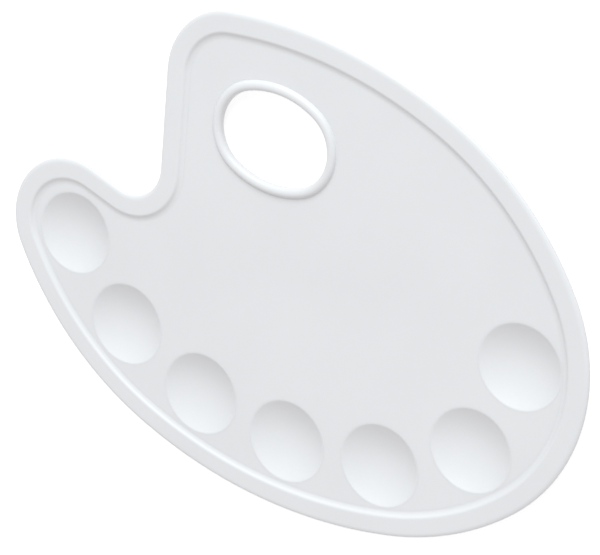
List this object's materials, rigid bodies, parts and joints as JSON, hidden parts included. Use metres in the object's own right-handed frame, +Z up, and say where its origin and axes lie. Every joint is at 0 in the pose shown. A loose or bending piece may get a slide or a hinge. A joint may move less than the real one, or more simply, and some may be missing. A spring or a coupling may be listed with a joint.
{
  "type": "mixing palette",
  "caption": "Oval hand-held mixing palette: thin flat deck, low raised rim, beaded thumb hole, finger notch and a row of round dished paint wells along one edge",
  "frame": {"origin": "middle of the bounding box in X and Y, at the level of the flat feet under the wells in Z", "axes": "+X along the board's long axis, away from the finger notch and towards the round end; +Y across the board, from the edge with the wells towards the edge with the thumb hole; +Z up out of the mixing deck"},
  "size_m": [0.308, 0.2286, 0.0089],
  "materials": {
    "deck": "smooth white moulded plastic, satin to semi-gloss",
    "rim": "smooth white moulded plastic, satin to semi-gloss",
    "bead": "smooth white moulded plastic, satin to semi-gloss",
    "wells": "smooth white moulded plastic, satin to semi-gloss"
  },
  "bodies": {
    "root": {"mixing_deck": "deck", "outer_rim": "rim", "thumb_hole_bead": "bead", "paint_well_1": "wells", "paint_well_2": "wells", "paint_well_3": "wells", "paint_well_4": "wells", "paint_well_5": "wells", "paint_well_6": "wells", "paint_well_7": "wells"}
  },
  "joints": []
}
